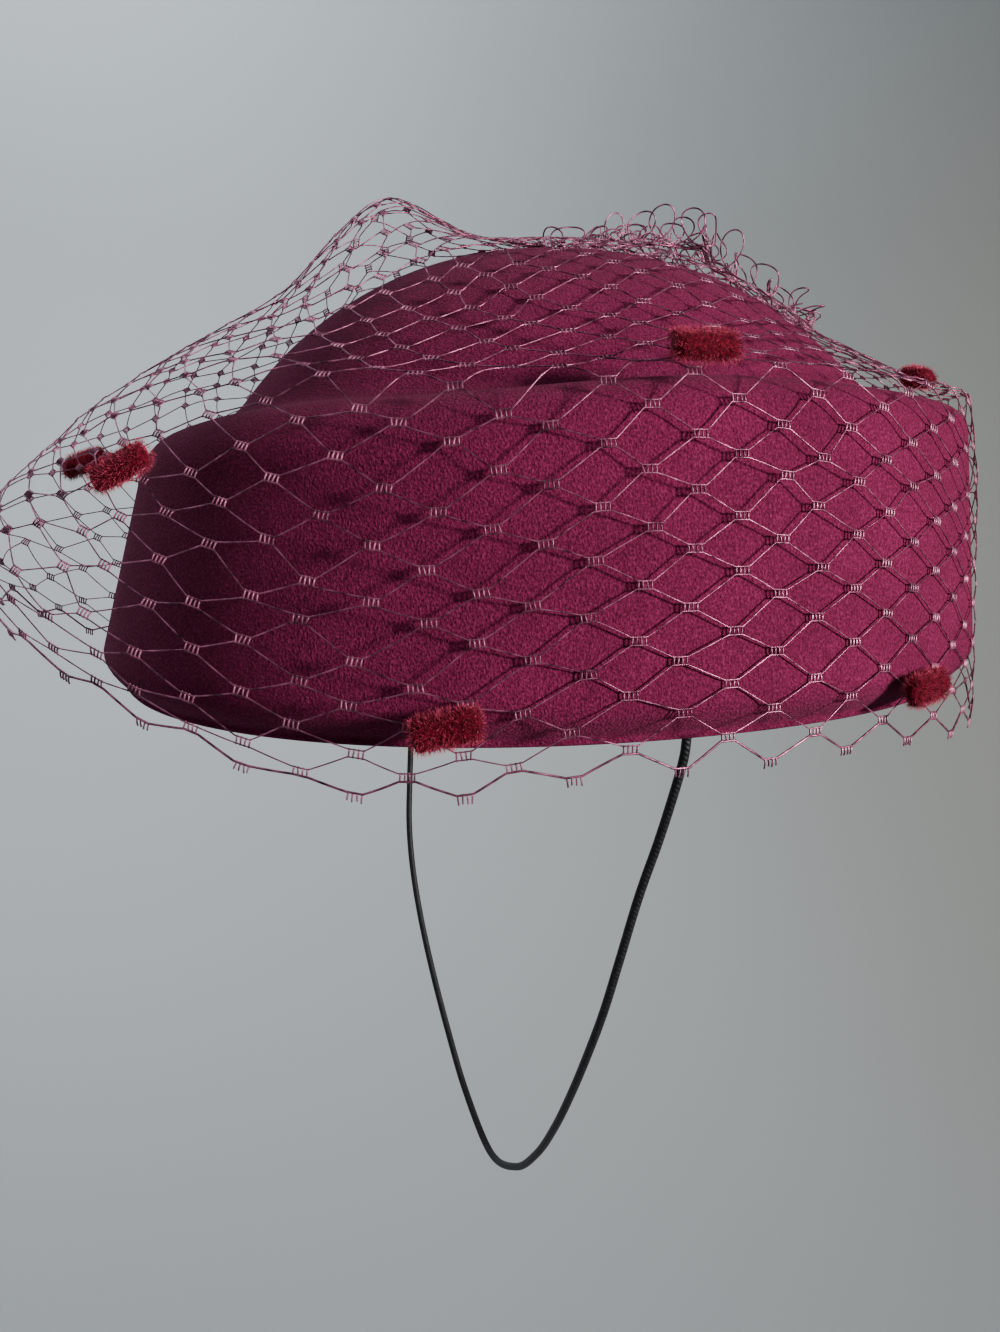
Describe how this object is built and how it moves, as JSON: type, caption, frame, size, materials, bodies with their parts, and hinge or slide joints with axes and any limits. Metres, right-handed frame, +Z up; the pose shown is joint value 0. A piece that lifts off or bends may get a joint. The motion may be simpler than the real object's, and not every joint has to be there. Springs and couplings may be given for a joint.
{
  "type": "pillbox hat",
  "caption": "Hollow felt pillbox hat with a domed crown, under a coarse dotted net veil that stands off in front, with a chin elastic.",
  "frame": {"origin": "middle of the head opening, in the plane of the rim", "axes": "+Z up, the front of the hat faces -Y, the wearer's left is +X"},
  "size_m": [0.2096, 0.257, 0.2676],
  "materials": {
    "felt": "matte",
    "net": "matte",
    "chenille": "matte",
    "elastic": "matte"
  },
  "bodies": {
    "root": {"felt_body": "felt", "veil_net": "net", "veil_dot_front_left": "chenille", "veil_dot_hem_left": "chenille", "veil_dot_crown_left": "chenille", "veil_dot_shoulder_back_left": "chenille", "veil_dot_hem_back_left": "chenille", "veil_dot_hem_back_right": "chenille", "veil_dot_shoulder_back_right": "chenille", "veil_dot_hem_right": "chenille", "veil_dot_crown_right": "chenille", "veil_dot_hem_front_right": "chenille", "veil_dot_front_right": "chenille", "chin_elastic": "elastic", "elastic_knot_left": "elastic", "elastic_knot_right": "elastic"}
  },
  "joints": []
}
